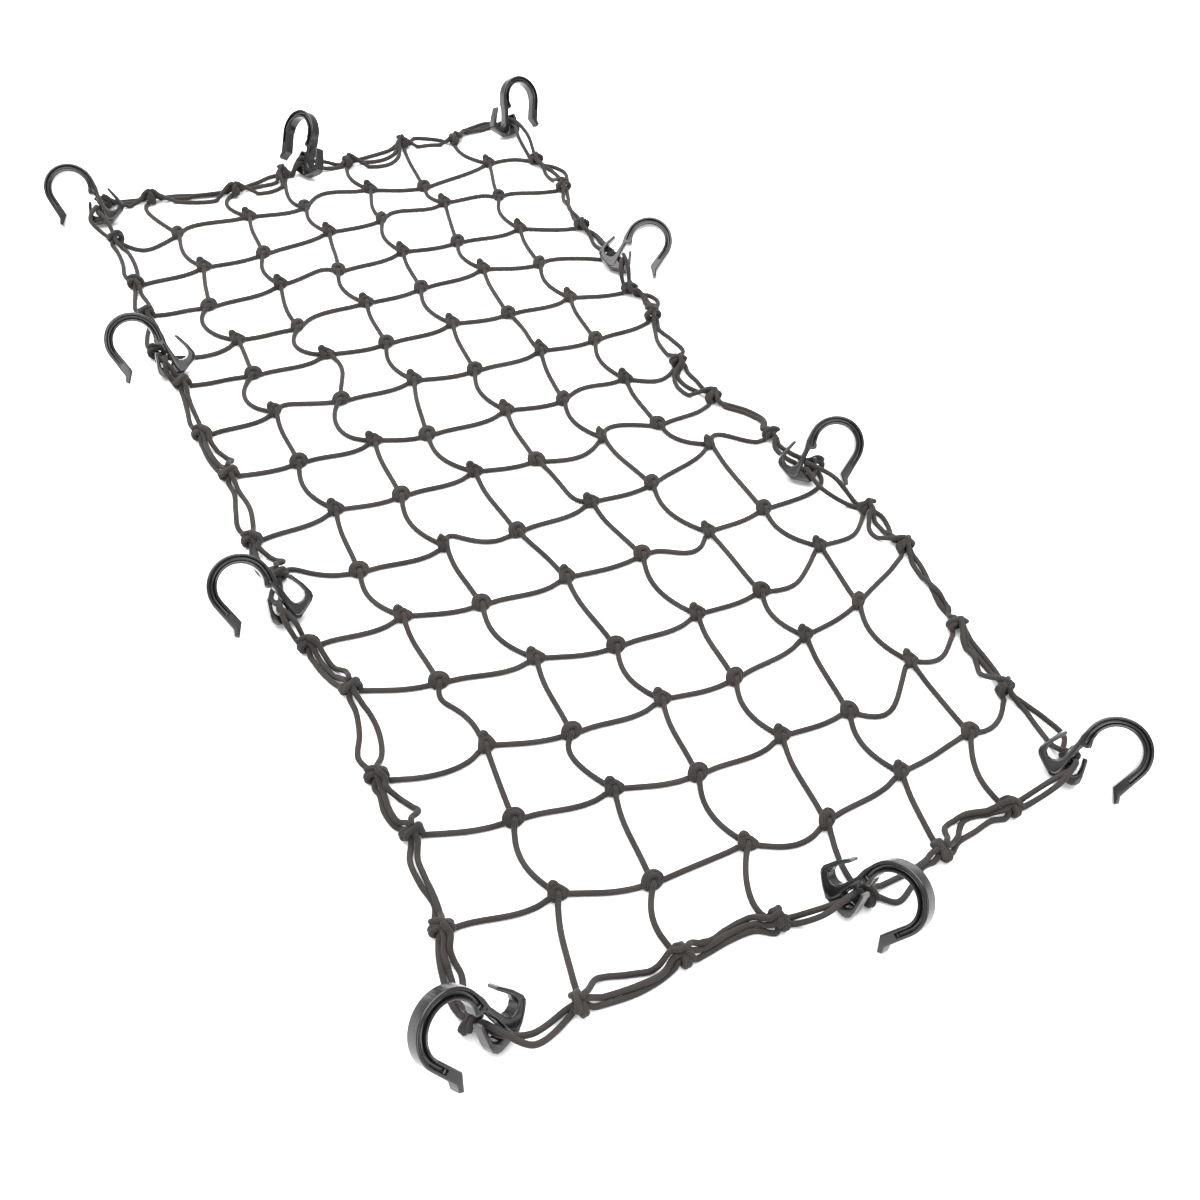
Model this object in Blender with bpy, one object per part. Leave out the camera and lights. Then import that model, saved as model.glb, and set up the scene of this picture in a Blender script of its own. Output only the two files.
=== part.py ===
"""Knotted luggage net of round shock cord with ten moulded hooks, laid out flat on a floor.

Blender units are metres, +Z up. The floor is z = 0, the net's long way is along Y, its near end is at -Y.
"""

import math

import bmesh
import bpy
from mathutils import Vector

for old in list(bpy.data.objects):
    bpy.data.objects.remove(old, do_unlink=True)

mm = 0.001

# Cord and knots
cord = 3.2  # thickness of the shock cord
across = 8  # knots in each row
along = 16  # knots in each column
knot_reach = 4.3  # from a knot's middle to where its strands leave it
knot_waist = 5.3  # from a knot's middle to its bulge between two strands
knot_rise = 7.6  # top of a knot whose wraps lie flat
nub_rise = 9.2  # top of a knot whose loop stands up
edge_reach = 5.6  # the same three for the border's knots, which tie more cords
edge_waist = 6.8
edge_rise = 9.8
side_by_side = {1: (0,), 2: (-2.0, 2.0), 3: (-3.9, 0, 3.9)}  # how strands that leave a knot together sit, by number
zig = (-2.7, -2.6)  # each second knot sits this much off its row, by how the strands pull

# Where each row of knots lies. left and right are the X of its ends, and the other four are Y at its left end,
# a third and two thirds of the way across, and its right end. Row 0 is the far end.
row_columns = ("left", "right", "y_left", "y_third", "y_two_thirds", "y_right")
knot_rows = (
    (-173, 191, 375, 366, 382, 385),
    (-176, 190, 319, 321, 329, 325),
    (-176, 186, 261, 272, 287, 271),
    (-181, 175, 214, 223, 233, 221),
    (-179, 172, 174, 171, 187, 162),
    (-174, 166, 130, 128, 130, 124),
    (-178, 164, 80, 79, 76, 81),
    (-174, 155, 31, 28, 23, 28),
    (-173, 156, -26, -24, -27, -23),
    (-177, 176, -66, -81, -78, -65),
    (-172, 181, -118, -130, -135, -110),
    (-168, 191, -159, -185, -189, -150),
    (-168, 190, -215, -235, -235, -198),
    (-168, 184, -257, -281, -286, -255),
    (-172, 180, -305, -333, -337, -315),
    (-184, 169, -369, -375, -383, -371),
)

# The knots that have slid out of their row.
slid_columns = ("row", "col", "x", "y")
slid_knots = (
    (0, 0, 7, 3),
    (0, 1, -14, 0),
    (0, 3, -8, 3),
    (0, 7, 0, 3),
    (1, 5, -4, -10),
    (1, 6, 7, 5),
    (7, 3, -8, -2),
    (9, 6, 2, 10),
    (10, 4, 7, 5),
    (14, 6, 8, 2),
    (14, 7, -9, -1),
    (15, 0, -3, 8),
    (15, 3, 8, 3),
    (15, 4, -2, -7),
    (15, 7, 8, 7),
)

# How a strand leaves one knot and arrives at the next: degrees to the left of the straight line between them, and how
# far it keeps that way, as a part of that line. A flat knot sends its strands off otherwise than one with a nub.
way_columns = ("strand", "from_flat", "leave", "arrive", "keep_leave", "keep_arrive")
strand_ways = (
    ("across", True, 1, 18, 1.1, 1.2),
    ("across", False, -5, 8, 1.5, 1.3),
    ("down", True, -27, 26, 1.1, 1.3),
    ("down", False, -9, 1, 1.2, 1.25),
)

# The strands that hang otherwise, by the knot they start from.
odd_columns = ("strand", "row", "col", "leave", "arrive", "keep_leave", "keep_arrive")
odd_strands = (
    ("down", 0, 1, -75, 15, 0.7, 1.4),
    ("down", 0, 2, -75, 60, 1.4, 1.1),
    ("down", 0, 3, -25, 55, 1.2, 0.9),
    ("across", 1, 0, -75, 45, 1.9, 1.9),
    ("across", 1, 1, 45, -25, 0.9, 1.1),
    ("across", 1, 3, 45, -15, 1.7, 1.2),
    ("across", 1, 6, 20, -30, 1.4, 1.2),
    ("across", 2, 4, 60, 25, 1.2, 1.2),
    ("across", 2, 5, 10, -45, 1.6, 0.9),
    ("across", 2, 6, 45, 5, 0.8, 1.4),
    ("down", 3, 1, -75, 45, 0.9, 1.5),
    ("across", 3, 2, 5, -65, 1.4, 1.0),
    ("across", 4, 0, -40, 55, 1.7, 0.7),
    ("across", 4, 2, 45, -10, 1.1, 1.1),
    ("across", 4, 6, 55, -30, 0.6, 0.7),
    ("down", 4, 2, -70, 55, 1.3, 1.6),
    ("down", 5, 1, -70, 55, 0.9, 1.7),
    ("down", 5, 2, 35, -5, 1.2, 1.2),
    ("down", 5, 5, 10, 5, 1.5, 1.0),
    ("across", 6, 1, 55, 5, 0.6, 2.0),
    ("down", 6, 2, -75, 65, 0.6, 1.7),
    ("across", 7, 5, 30, 0, 1.5, 1.1),
    ("across", 7, 6, -35, 45, 1.5, 1.6),
    ("across", 8, 4, -25, 30, 1.6, 1.2),
    ("across", 8, 5, 60, -25, 1.0, 1.2),
    ("down", 8, 4, 0, 45, 1.5, 0.8),
    ("across", 9, 0, 60, 5, 0.8, 2.0),
    ("across", 9, 2, 75, 20, 1.1, 2.0),
    ("across", 9, 6, 65, 30, 1.4, 1.2),
    ("down", 9, 3, 5, -5, 1.1, 1.3),
    ("across", 10, 4, 5, 60, 1.1, 2.0),
    ("across", 10, 6, -20, 65, 0.9, 1.1),
    ("across", 11, 5, -35, 30, 1.2, 1.9),
    ("across", 11, 6, -25, 40, 1.6, 1.6),
    ("down", 11, 1, -35, -10, 1.0, 2.0),
    ("across", 12, 0, -30, 45, 1.0, 1.0),
    ("down", 12, 2, -55, 25, 1.0, 0.9),
    ("across", 13, 5, -60, 30, 1.5, 1.6),
    ("across", 13, 6, -45, 45, 1.4, 1.6),
    ("across", 14, 3, -25, 50, 1.3, 1.3),
    ("across", 14, 6, -40, 40, 1.3, 0.9),
    ("down", 14, 3, -45, 75, 1.2, 0.8),
)

# The border's strands from knot to knot, clockwise from the far left corner. Each number is how far one strand bows
# out from the straight line between the two knots, outermost strand first; the far and near ends have seven spans.
border_spans = {
    "far": ((2, -3), (2, -8), (2, -3, -9), (3, -3), (0, -5, -10), (8, -3), (9, 1, -4)),
    "right": (
        (4, -5), (12, 2, -4), (3, -2), (2, -3), (3, -3), (10, -2), (6, -5), (4, -1, -7),
        (3, -2), (3, -2), (1, -7), (8, -3), (3, -2), (3, -1, -6), (6, -7),
    ),
    "near": ((3, -6), (1, -5, -9), (4, -9), (4, 0), (2, -6), (3, -2, -6), (10, 5)),
    "left": (
        (3, 0, -3), (3, -5), (2, -2), (3, -8), (2, -2), (3, -3), (3, -7), (2, -6),
        (3, -3), (2, -2), (5, -1), (2, -8), (3, -3), (3, -5), (8, -2),
    ),
}

# Hook: a flat moulding. s runs along the shank from the V's corner towards the ring, n to the ring's open side.
hook_thick = 8.0
ring_mid = (30.8, 15.2)  # s and n of the ring's middle
ring_out = 18.6
ring_in = 12.9
ring_from = -112.0  # where the ring's inside starts at the shank's nose, and ends at the arm, in degrees from s
ring_to = 96.0
ring_back = -94.0  # where its outside runs into the shank
arm_tip = ((15.0, 27.0), (8.7, 33.4), (10.8, 34.9), (14.2, 32.9))  # end of the arm, with the toe it ends in
nose = ((17.0, 1.6), (20.0, 1.8), (20.9, 3.6), (22.2, 5.0), (24.0, 4.5))
shoulder = ((24.0, -3.2), (18.5, -1.8))
crown = (-3.2, 0.0)  # outer corner of the V
eye = (  # the outer edge of an eye from the crown to its tip, then its hole back to the shank
    (-0.4, 8.5), (0.8, 11.4), (2.4, 13.3), (4.8, 14.1), (11.5, 13.3), (19.6, 10.9), (20.6, 9.9), (19.6, 8.8),
    (12.0, 10.6), (7.8, 11.0), (5.4, 9.8), (4.2, 7.4), (4.4, 4.6), (5.8, 2.6), (8.2, 1.8),
)
channel_deep = 1.8
channel_rim = 1.5
channel_from = -108.0
channel_to = 94.0
arc_step = 18.0  # degrees from one flat of the ring to the next

# How each hook stands, on its crown and its toe. x and y are where the crown is, heading is where the toe points
# from it, lean tips it back, and side is the hand it shows. edge and span say which border span it hangs on.
hook_columns = ("name", "edge", "span", "side", "x", "y", "heading", "lean")
hook_rows = (
    ("hook_far_left", "left", 14, -1, -169, 348, 169, 40),
    ("hook_far_middle", "far", 3, -1, -6, 365, 105, 30),
    ("hook_far_right", "right", 0, 1, 181, 375, 13, 30),
    ("hook_right_far", "right", 4, 1, 167, 153, -41, 47),
    ("hook_right_near", "right", 10, 1, 161, -112, -34, 42),
    ("hook_near_right", "near", 0, 1, 156.5, -370, -57, 46),
    ("hook_near_middle", "near", 3, 1, 2, -377, -81, 28),
    ("hook_near_left", "near", 6, -1, -167.5, -369.5, -157.5, 37),
    ("hook_left_near", "left", 5, -1, -173, -98.5, 181, 46),
    ("hook_left_far", "left", 10, -1, -171, 146, 178, 31),
)
eye_way = (9.2, 6.4)  # s and n of the middle of the way through an eye
eye_past = 2.0  # a cord runs straight this far out of each face
eye_line = 6.0  # and heads for its knot from this much further

centre = (-2.2, 3.6)  # moves the whole so that its box is centred


def named(columns, rows):
    return [dict(zip(columns, row)) for row in rows]


def turned(degrees):
    return Vector((math.cos(math.radians(degrees)), math.sin(math.radians(degrees))))


def bearing(vector):
    return math.degrees(math.atan2(vector.y, vector.x))


def through_four(u, first, third, two_thirds, last):
    """The cubic through four values a third of the way apart."""
    return (
        -4.5 * first * (u - 1 / 3) * (u - 2 / 3) * (u - 1)
        + 13.5 * third * u * (u - 2 / 3) * (u - 1)
        - 13.5 * two_thirds * u * (u - 1 / 3) * (u - 1)
        + 4.5 * last * u * (u - 1 / 3) * (u - 2 / 3)
    )


def is_flat(row, col):
    return (row + col) % 2 == 0


def knot_places():
    places = {}
    for row, line in enumerate(named(row_columns, knot_rows)):
        for col in range(across):
            u = col / (across - 1)
            x = line["left"] * (1 - u) + line["right"] * u
            y = through_four(u, line["y_left"], line["y_third"], line["y_two_thirds"], line["y_right"])
            sign = 1 if is_flat(row, col) else -1
            places[row, col] = Vector((x + sign * zig[0], y + sign * zig[1]))
    for slid in named(slid_columns, slid_knots):
        places[slid["row"], slid["col"]] += Vector((slid["x"], slid["y"]))
    return places


def inner_strands():
    """Each strand inside the border, as its two knots and how it leaves and arrives."""
    ways = {(way["strand"], way["from_flat"]): way for way in named(way_columns, strand_ways)}
    odd = {(way["strand"], way["row"], way["col"]): way for way in named(odd_columns, odd_strands)}
    strands = []
    for row in range(1, along - 1):
        for col in range(across - 1):
            way = odd.get(("across", row, col), ways["across", is_flat(row, col)])
            strands.append(((row, col), (row, col + 1), way))
    for row in range(along - 1):
        for col in range(1, across - 1):
            way = odd.get(("down", row, col), ways["down", is_flat(row, col)])
            strands.append(((row, col), (row + 1, col), way))
    return strands


def border_line():
    """The border's spans clockwise from the far left knot, each with its edge and its number on that edge."""
    last_row = along - 1
    last_col = across - 1
    spans = []
    for k in range(last_col):
        spans.append(("far", k, (0, k), (0, k + 1)))
    for k in range(last_row):
        spans.append(("right", k, (k, last_col), (k + 1, last_col)))
    for k in range(last_col):
        spans.append(("near", k, (last_row, last_col - k), (last_row, last_col - k - 1)))
    for k in range(last_row):
        spans.append(("left", k, (last_row - k, 0), (last_row - k - 1, 0)))
    return spans


class Stance:
    """Where a hook stands, as a map from its own s, n and height over its middle plane to the floor's frame."""

    def __init__(self, row):
        heading = math.radians(row["heading"])
        lean = math.radians(row["lean"])
        self.along = (Vector(arm_tip[1]) - Vector(crown)).normalized()
        self.over = Vector((self.along.y, -self.along.x))
        face = Vector((math.sin(heading), -math.cos(heading), 0)) * row["side"]
        up = Vector((0, 0, 1))
        self.out = Vector((math.cos(heading), math.sin(heading), 0))
        self.normal = face * math.cos(lean) + up * math.sin(lean)
        self.rise = up * math.cos(lean) - face * math.sin(lean)
        self.foot = Vector((row["x"], row["y"], 0))
        self.foot.z = -min(self.place(s, n, -hook_thick / 2).z for s, n in hook_outline())

    def place(self, s, n, height):
        flat = Vector((s, n)) - Vector(crown)
        sideways = self.out * flat.dot(self.along)
        return self.foot + sideways + self.rise * flat.dot(self.over) + self.normal * height


def arc(middle, radius, start, end, step):
    count = max(2, round(abs(end - start) / step))
    angles = (start + (end - start) * k / count for k in range(count + 1))
    return [(middle[0] + radius * turned(a).x, middle[1] + radius * turned(a).y) for a in angles]


def hook_outline():
    points = [crown]
    points += eye
    points += nose
    points += arc(ring_mid, ring_in, ring_from, ring_to, arc_step)
    points += arm_tip
    points += arc(ring_mid, ring_out, ring_to - 2, ring_back, arc_step)
    points += shoulder
    points += [(s, -n) for s, n in reversed(eye)]
    return points


def channel_outline():
    inner = arc(ring_mid, ring_in + channel_rim, channel_from, channel_to, arc_step)
    outer = arc(ring_mid, ring_out - channel_rim, channel_to, channel_from, arc_step)
    run = turned(channel_to + 90) * 7
    ends = [(s + run.x, n + run.y) for s, n in (inner[-1], outer[0])]
    return inner + ends + outer


def prism(name, outline, low, high):
    shape = bmesh.new()
    bottom = [shape.verts.new((s * mm, n * mm, low * mm)) for s, n in outline]
    top = [shape.verts.new((s * mm, n * mm, high * mm)) for s, n in outline]
    shape.faces.new(bottom)
    shape.faces.new(top)
    for k in range(len(outline)):
        after = (k + 1) % len(outline)
        shape.faces.new((bottom[k], bottom[after], top[after], top[k]))
    bmesh.ops.recalc_face_normals(shape, faces=shape.faces)
    mesh = bpy.data.meshes.new(name)
    shape.to_mesh(mesh)
    shape.free()
    made = bpy.data.objects.new(name, mesh)
    bpy.context.collection.objects.link(made)
    return made


def hook_blank():
    """One hook lying in its own s, n plane, with a channel cut in each face."""
    half = hook_thick / 2
    blank = prism("hook_blank", hook_outline(), -half, half)
    blank.hide_render = True
    blank.display_type = "WIRE"
    for face, low, high in (("front", half - channel_deep, half + 2), ("back", -half - 2, channel_deep - half)):
        cutter = prism("channel_" + face, channel_outline(), low, high)
        cutter.hide_render = True
        cutter.display_type = "WIRE"
        cut = blank.modifiers.new("Channel " + face, "BOOLEAN")
        cut.operation = "DIFFERENCE"
        cut.solver = "EXACT"
        cut.object = cutter
    bpy.context.view_layer.update()
    graph = bpy.context.evaluated_depsgraph_get()
    return bpy.data.meshes.new_from_object(blank.evaluated_get(graph))


def spread(ends):
    """Turns the strands that leave one knot too close together apart, and returns them in order round it."""
    for _ in range(60):
        ends.sort(key=lambda end: end["angle"] % 360)
        for k, end in enumerate(ends):
            after = ends[(k + 1) % len(ends)]
            gap = (after["angle"] - end["angle"]) % 360
            lack = end["half"] + after["half"] - gap
            if lack > 0:
                end["angle"] -= lack * 0.5
                after["angle"] += lack * 0.5
    return ends


def curve(start, leave, end, arrive, keep_leave, keep_arrive, parts):
    """Points between two sockets, without the two ends. leave and arrive both point the way the strand runs."""
    reach = (end - start).length
    points = []
    for k in range(1, parts):
        t = k / parts
        points.append(
            start * (2 * t**3 - 3 * t**2 + 1)
            + leave * (t**3 - 2 * t**2 + t) * reach * keep_leave
            + end * (3 * t**2 - 2 * t**3)
            + arrive * (t**3 - t**2) * reach * keep_arrive
        )
    return points


def ring_of(shape, point, way):
    """The four corners of a cord's square section: bottom left, bottom right, top right, top left, along way."""
    left = Vector((-way.y, way.x, 0)).normalized() * cord / 2
    up = way.cross(left).normalized() * cord / 2
    corners = (left - up, -left - up, up - left, left + up)
    return [shape.verts.new((point + corner) * mm) for corner in corners]


def tube(shape, first, points, last):
    """Skins a cord from one socket's ring, through rings at points, to the other socket's ring."""
    rings = [first]
    for k in range(1, len(points) - 1):
        way = (points[k + 1] - points[k]).normalized() + (points[k] - points[k - 1]).normalized()
        rings.append(ring_of(shape, points[k], way.normalized()))
    # The far socket looks back along the cord, so its left is the cord's right.
    rings.append([last[1], last[0], last[3], last[2]])
    for near, far in zip(rings, rings[1:]):
        for k in range(4):
            after = (k + 1) % 4
            shape.faces.new((near[k], far[k], far[after], near[after]))


def knot(shape, middle, sockets, waist, rise, ridge_turn, ridge_lift):
    """Closes one knot round its sockets: flat under, a bulge at each wide gap, and a two-point ridge on top."""
    low = []
    high = []
    count = len(sockets)
    for k, (angle, _, half, ring) in enumerate(sockets):
        after_angle, after_half, _, after = sockets[(k + 1) % count]
        low += [ring[1], ring[0]]
        high += [ring[2], ring[3]]
        gap = (after_angle - angle) % 360 if count > 1 else 360
        free = gap - half - after_half
        bulges = [] if gap < 1 or free < 12 else [0.5] if gap < 150 else [0.3, 0.7]
        made = []
        for part in bulges:
            way = turned(angle + half + free * part)
            place = Vector((middle.x + way.x * waist, middle.y + way.y * waist, cord * 0.95))
            made.append(shape.verts.new(place * mm))
        chain = [(ring[0], ring[3])] + [(v, v) for v in made] + [(after[1], after[2])]
        for (b0, t0), (b1, t1) in zip(chain, chain[1:]):
            if b0 is t0 and b1 is t1:
                continue
            loop = [b0, b1, t1, t0]
            loop = [v for n, v in enumerate(loop) if v is not loop[n - 1]]
            shape.faces.new(loop)
        if len(made) == 1:
            shape.faces.new((ring[0], after[1], made[0]))
        if len(made) == 2:
            shape.faces.new((ring[0], after[1], made[1], made[0]))
        high += made
    shape.faces.new(low)
    ridge_way = turned(ridge_turn)
    ridge = []
    for sign in (1, -1):
        place = Vector((middle.x, middle.y, rise + ridge_lift * sign))
        place.x += ridge_way.x * sign * 1.9
        place.y += ridge_way.y * sign * 1.9
        ridge.append(shape.verts.new(place * mm))

    def nearest(vert):
        offset = Vector((vert.co.x / mm - middle.x, vert.co.y / mm - middle.y))
        return ridge[0] if offset.dot(ridge_way) >= 0 else ridge[1]

    for k, vert in enumerate(high):
        after = high[(k + 1) % len(high)]
        here = nearest(vert)
        there = nearest(after)
        shape.faces.new((vert, after, there))
        if here is not there:
            shape.faces.new((vert, there, here))


def build_net(places, stances):
    shape = bmesh.new()
    ends = {place: [] for place in places}
    strands = []
    for start, end, way in inner_strands():
        line = bearing(places[end] - places[start])
        leave = {"angle": line + way["leave"]}
        arrive = {"angle": line + way["arrive"] + 180}
        strands.append((start, end, leave, arrive, way))
        ends[start].append(leave)
        ends[end].append(arrive)
    spans = []
    for edge, number, start, end in border_line():
        bows = border_spans[edge][number]
        leave = {"angle": bearing(places[end] - places[start]), "count": len(bows)}
        arrive = {"angle": bearing(places[start] - places[end]), "count": len(bows)}
        if (edge, number) in stances:
            for knot_end, place in ((leave, places[start]), (arrive, places[end])):
                ways = [eye_points(stances[edge, number], place, side)[0] for side in (1, -1)]
                knot_end["angle"] = bearing((ways[0] + ways[1]).xy / 2 - place)
        spans.append((edge, number, start, end, leave, arrive, bows))
        ends[start].append(leave)
        ends[end].append(arrive)

    sockets = {}
    for place, list_of_ends in ends.items():
        on_edge = place[0] in (0, along - 1) or place[1] in (0, across - 1)
        reach = edge_reach if on_edge else knot_reach
        for end in list_of_ends:
            wide = max(side_by_side[end.get("count", 1)]) + cord / 2
            end["half"] = math.degrees(math.atan2(wide, reach)) + 5
        sockets[place] = []
        for end in spread(list_of_ends):
            way = turned(end["angle"])
            left = Vector((-way.y, way.x))
            end["rings"] = []
            end["points"] = []
            end["way"] = way
            for k, offset in enumerate(side_by_side[end.get("count", 1)]):
                point = places[place] + way * reach + left * offset
                point = Vector((point.x, point.y, cord / 2))
                ring = ring_of(shape, point, Vector((way.x, way.y, 0)))
                end["rings"].append(ring)
                end["points"].append(point)
                before = end["half"] if k == 0 else 0
                after = end["half"] if k == end.get("count", 1) - 1 else 0
                sockets[place].append((end["angle"] % 360 + k * 0.001, before, after, ring))
    for place, list_of_sockets in sockets.items():
        list_of_sockets.sort(key=lambda socket: socket[0])

    for start, end, leave, arrive, way in strands:
        points = [leave["points"][0]]
        ahead = Vector((leave["way"].x, leave["way"].y, 0))
        behind = Vector((-arrive["way"].x, -arrive["way"].y, 0))
        points += curve(points[0], ahead, arrive["points"][0], behind, way["keep_leave"], way["keep_arrive"], 3)
        points.append(arrive["points"][0])
        tube(shape, leave["rings"][0], points, arrive["rings"][0])

    for edge, number, start, end, leave, arrive, bows in spans:
        count = len(bows)
        stance = stances.get((edge, number))
        for k, bow in enumerate(bows):
            # Going clockwise the outside is on the left, which is the last socket here and the first there.
            first = leave["points"][count - 1 - k]
            last = arrive["points"][k]
            out = Vector((-(last - first).y, (last - first).x, 0)).normalized()
            ahead = Vector((leave["way"].x, leave["way"].y, 0))
            behind = Vector((-arrive["way"].x, -arrive["way"].y, 0))
            if stance:
                points = [first] + eye_path(stance, first, last, out * bow, 1 if k == 0 else -1) + [last]
            else:
                middles = curve(first, ahead, last, behind, 1.0, 1.0, 3)
                points = [first] + [p + out * bow for p in middles] + [last]
            tube(shape, leave["rings"][count - 1 - k], points, arrive["rings"][k])

    for place, list_of_sockets in sockets.items():
        on_edge = place[0] in (0, along - 1) or place[1] in (0, across - 1)
        flat = is_flat(*place)
        waist = edge_waist if on_edge else knot_waist
        rise = edge_rise if on_edge else knot_rise if flat else nub_rise
        middle = Vector((places[place].x, places[place].y, 0))
        knot(shape, middle, list_of_sockets, waist, rise, 130 if flat else 50, 0 if flat else 0.9)
    bmesh.ops.recalc_face_normals(shape, faces=shape.faces)
    bmesh.ops.triangulate(shape, faces=shape.faces)
    mesh = bpy.data.meshes.new("net")
    shape.to_mesh(mesh)
    shape.free()
    return mesh


def eye_points(stance, knot, side):
    """Where a cord from a knot is in line with an eye, and where it goes in: outer eye with side 1, inner with -1."""
    away = stance.normal.dot(Vector((knot.x, knot.y, 4)) - stance.foot)
    face = math.copysign(hook_thick / 2 + eye_past, away)
    reach = face + math.copysign(min(eye_line, 0.5 * abs(away - face)), away)
    s, n = eye_way[0], eye_way[1] * side
    return stance.place(s, n, reach), stance.place(s, n, face)


def eye_path(stance, first, last, bow, side):
    """A border strand's way through a hook: the outermost strand through the outer eye, the rest the inner."""
    before, enter = eye_points(stance, first, side)
    after, leave = eye_points(stance, last, side)
    near = (before - first).length
    far = (last - after).length
    up = first.lerp(before, 0.6) + bow * near / (near + far)
    down = last.lerp(after, 0.6) + bow * far / (near + far)
    up.z = max(cord / 2, up.z)
    down.z = max(cord / 2, down.z)
    return [up, enter, leave, down]


def material(name, colour, roughness):
    made = bpy.data.materials.new(name)
    made.use_nodes = True
    shader = made.node_tree.nodes["Principled BSDF"]
    shader.inputs["Base Color"].default_value = (*colour, 1)
    shader.inputs["Roughness"].default_value = roughness
    shader.inputs["Metallic"].default_value = 0
    return made


def main():
    places = knot_places()
    for place in places.values():
        place += Vector(centre)
    hooks = named(hook_columns, hook_rows)
    stances = {}
    for hook in hooks:
        hook["x"] += centre[0]
        hook["y"] += centre[1]
        hook["stance"] = Stance(hook)
        stances[hook["edge"], hook["span"]] = hook["stance"]

    net_mesh = build_net(places, stances)
    net_mesh.materials.append(material("Braided cord", (0.075, 0.073, 0.073), 0.85))
    net = bpy.data.objects.new("net", net_mesh)
    bpy.context.collection.objects.link(net)

    blank = hook_blank()
    for hook in hooks:
        stance = hook["stance"]
        mesh = blank.copy()
        mesh.name = hook["name"]
        for vert in mesh.vertices:
            at = vert.co / mm
            vert.co = stance.place(at.x, at.y, at.z) * mm
        if stance.out.cross(stance.rise).dot(stance.normal) > 0:
            mesh.flip_normals()
        mesh.materials.clear()
        mesh.materials.append(material("Hook plastic " + hook["name"], (0.03, 0.03, 0.032), 0.35))
        made = bpy.data.objects.new(hook["name"], mesh)
        bpy.context.collection.objects.link(made)


main()
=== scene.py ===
import math

import bpy
import numpy as np
from mathutils import Matrix, Vector


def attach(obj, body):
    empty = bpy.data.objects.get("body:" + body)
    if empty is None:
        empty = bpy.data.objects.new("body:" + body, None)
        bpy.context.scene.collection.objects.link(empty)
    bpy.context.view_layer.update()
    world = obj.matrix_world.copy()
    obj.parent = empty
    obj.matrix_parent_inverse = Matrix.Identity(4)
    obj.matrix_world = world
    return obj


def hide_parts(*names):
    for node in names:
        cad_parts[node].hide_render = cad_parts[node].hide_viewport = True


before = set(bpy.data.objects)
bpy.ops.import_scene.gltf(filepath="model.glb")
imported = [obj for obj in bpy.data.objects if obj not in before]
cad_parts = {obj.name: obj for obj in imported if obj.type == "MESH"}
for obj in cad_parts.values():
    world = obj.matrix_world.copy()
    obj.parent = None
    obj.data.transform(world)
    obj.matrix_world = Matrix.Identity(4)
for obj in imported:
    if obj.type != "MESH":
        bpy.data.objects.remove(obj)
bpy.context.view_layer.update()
print("frame loaded:", len(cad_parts), "nodes")

mm = 0.001  # everything below is laid out in millimetres and made in metres

cord = {
    "thick": 3.2,
    "sides": 10,  # facets round a cord
    "step": 2.6,  # longest run between two rings of a cord's skin
    "close": 6,  # points nearer than this are in a knot, where the rings stand twice as close
    "dome": 0.6,  # how far a cut end bulges, as a part of the radius
    "parts": 7,  # a strand from knot to knot is laid out in this many parts
    "rise": 0.55,  # steepest slope of a border strand that climbs over another
}

net = {
    "across": 8,  # knots in each row
    "along": 16,  # knots in each column
    "reach": 4.3,  # from a knot's middle to where its strands leave it
    "edgeReach": 5.6,  # the same for the border's knots
    "zig": (-2.7, -2.6),  # how far the flat knots sit off their row, the others as far the other way
    "centre": (-2.2, 3.6),  # brings the middle of the whole to the frame's own
    "beside": {1: (0,), 2: (-1.7, 1.7), 3: (-2.9, 0, 2.9)},  # how strands that leave a knot together sit
    "apart": 5,  # degrees kept free on each side of the strands that leave a knot
    "rounds": 60,  # in which crowded strands are turned apart
    "over": (1.6, 0.5),  # the first two points of a strand that leaves over its knot are this much higher
}

# Where each row of knots lies, from the far end. left and right are the X of its ends. The other four are
# its Y at the left end, a third and two thirds of the way across, and at the right end.
rowColumns = ("left", "right", "yLeft", "yThird", "yTwoThirds", "yRight")
knotRows = (
    (-173, 191, 375, 366, 382, 385),
    (-176, 190, 319, 321, 329, 325),
    (-176, 186, 261, 272, 287, 271),
    (-181, 175, 214, 223, 233, 221),
    (-179, 172, 174, 171, 187, 162),
    (-174, 166, 130, 128, 130, 124),
    (-178, 164, 80, 79, 76, 81),
    (-174, 155, 31, 28, 23, 28),
    (-173, 156, -26, -24, -27, -23),
    (-177, 176, -66, -81, -78, -65),
    (-172, 181, -118, -130, -135, -110),
    (-168, 191, -159, -185, -189, -150),
    (-168, 190, -215, -235, -235, -198),
    (-168, 184, -257, -281, -286, -255),
    (-172, 180, -305, -333, -337, -315),
    (-184, 169, -369, -375, -383, -371),
)

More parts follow.
